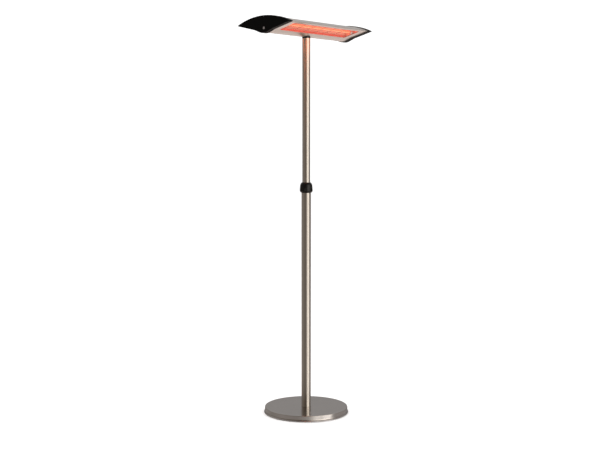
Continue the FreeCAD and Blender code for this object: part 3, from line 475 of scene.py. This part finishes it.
# ---- studio ---------------------------------------------------------------------------------------------
def add_floor():
    """Plain pale floor; the metal reflects the studio instead of it."""
    half = FLOOR_SIZE / 2
    corners = [(-half, -half, 0), (half, -half, 0), (half, half, 0), (-half, half, 0)]
    mesh = bpy.data.meshes.new("floor")
    mesh.from_pydata(corners, [], [(0, 1, 2, 3)])
    floor = bpy.data.objects.new("floor", mesh)
    bpy.context.collection.objects.link(floor)
    look = Look("floor", (0.93, 0.93, 0.93), 0.9)
    patches = look.noise(look.place(), 1.2, 3.0)
    look.drive("Base Color", look.mix(patches, (0.92, 0.92, 0.92), (0.94, 0.94, 0.94)))
    mesh.materials.append(look.material)
    floor.visible_glossy = False


def add_box_light(name, place, aim, size, power, color=(1.0, 1.0, 1.0)):
    """Rectangular soft box that faces a point."""
    light = bpy.data.lights.new(name, "AREA")
    light.shape = "RECTANGLE"
    light.size, light.size_y = size
    light.energy = power
    light.color = color
    lamp = bpy.data.objects.new(name, light)
    lamp.location = place
    lamp.rotation_euler = (Vector(aim) - Vector(place)).to_track_quat("-Z", "Y").to_euler()
    bpy.context.collection.objects.link(lamp)
    return lamp


def add_lamp_light(wing, side):
    """Warm light out of one window, as long and wide as its wire guard; it turns and slides with the head."""
    low, high = (Vector(corner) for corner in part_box("guard_" + wing))
    length, run, rise = high - low
    out = Vector((0.0, side * rise, -run)).normalized()
    middle = (low + high) / 2 + out * LAMP_STAND_OFF
    size = (length, math.hypot(rise, run))
    light = add_box_light("lamp_light_" + wing, middle, middle + out, size, LAMP_POWER, LAMP_COLOR)
    light.visible_camera = False
    light.parent = NODES["guard_" + wing]


def add_lights():
    """One large soft light from above, and the light out of the two windows."""
    size = (OVERHEAD_SIZE, OVERHEAD_SIZE)
    overhead = add_box_light("overhead", (0, 0, OVERHEAD_HEIGHT), (0, 0, 0), size, OVERHEAD_POWER)
    overhead.visible_glossy = False
    for wing, side in (("front", -1), ("rear", 1)):
        add_lamp_light(wing, side)


class World(Nodes):
    """The world shader's nodes."""

    def __init__(self):
        world = bpy.data.worlds.new("studio")
        bpy.context.scene.world = world
        world.use_nodes = True
        world.cycles.sampling_method = "NONE"
        super().__init__(world.node_tree)
        self.tree.nodes.clear()

    def blend(self, factor, low, high):
        """Colour that runs from low to high as the factor goes from 0 to 1."""
        node = self.add("ShaderNodeMix", data_type="RGBA", blend_type="MIX")
        sockets = [socket for socket in node.inputs if socket.enabled]
        for socket, value in zip(sockets, (factor, low, high)):
            self.join(value, socket)
        return next(socket for socket in node.outputs if socket.enabled)


def add_world():
    """White backdrop and fill; polished surfaces mirror a dim, warm studio with a tall soft box instead."""
    world = World()
    direction = world.add("ShaderNodeTexCoord").outputs["Generated"]
    turned = world.add("ShaderNodeMapping", vector_type="VECTOR")
    turned.inputs["Rotation"].default_value = (0.0, 0.0, CAMERA_TURN + math.pi / 2)
    world.join(direction, turned.inputs["Vector"])
    parts = world.parts(turned.outputs["Vector"])
    turn = world.math("ARCTAN2", parts["Y"], parts["X"])
    level = world.spread(turn, 0.0, 1.0, -math.pi, math.pi)
    rings = []
    for sine, ring in STUDIO:
        stops = [((degrees + 180) / 360, color) for degrees, color in ring]
        rings.append((sine, world.colors(level, stops)))
    below, mirrored = rings[0]
    for sine, around in rings[1:]:
        mirrored = world.blend(world.spread(parts["Z"], 0.0, 1.0, below, sine), mirrored, around)
        below = sine
    studio = world.add("ShaderNodeBackground")
    world.join(mirrored, studio.inputs["Color"])
    white = world.add("ShaderNodeBackground", Color=(1.0, 1.0, 1.0, 1.0), Strength=WHITE)
    mix = world.add("ShaderNodeMixShader")
    world.join(world.add("ShaderNodeLightPath").outputs["Is Glossy Ray"], mix.inputs["Fac"])
    world.join(white.outputs["Background"], mix.inputs[1])
    world.join(studio.outputs["Background"], mix.inputs[2])
    world.join(mix.outputs["Shader"], world.add("ShaderNodeOutputWorld").inputs["Surface"])


def add_camera():
    """Camera at the viewing angle that the heater was seen from."""
    camera = bpy.data.cameras.new("camera")
    camera.lens = CAMERA_LENS
    camera.sensor_width = CAMERA_SENSOR
    camera.clip_end = CAMERA_REACH
    holder = bpy.data.objects.new("camera", camera)
    ahead = Vector((math.sin(CAMERA_TURN), math.cos(CAMERA_TURN), 0.0))
    left = Vector((-ahead.y, ahead.x, 0.0))
    level = ahead * math.cos(CAMERA_YAW) + left * math.sin(CAMERA_YAW)
    view = level * math.cos(CAMERA_PITCH) - Vector((0, 0, math.sin(CAMERA_PITCH)))
    holder.location = Vector((0, 0, CAMERA_HEIGHT)) - ahead * CAMERA_DISTANCE
    holder.rotation_euler = view.to_track_quat("-Z", "Y").to_euler()
    bpy.context.collection.objects.link(holder)
    bpy.context.scene.camera = holder
    bpy.context.scene.view_settings.view_transform = "Standard"


dress_nodes()
for lamp in ("filament_front", "filament_rear"):
    add_coil(lamp)
add_floor()
add_lights()
add_world()
add_camera()
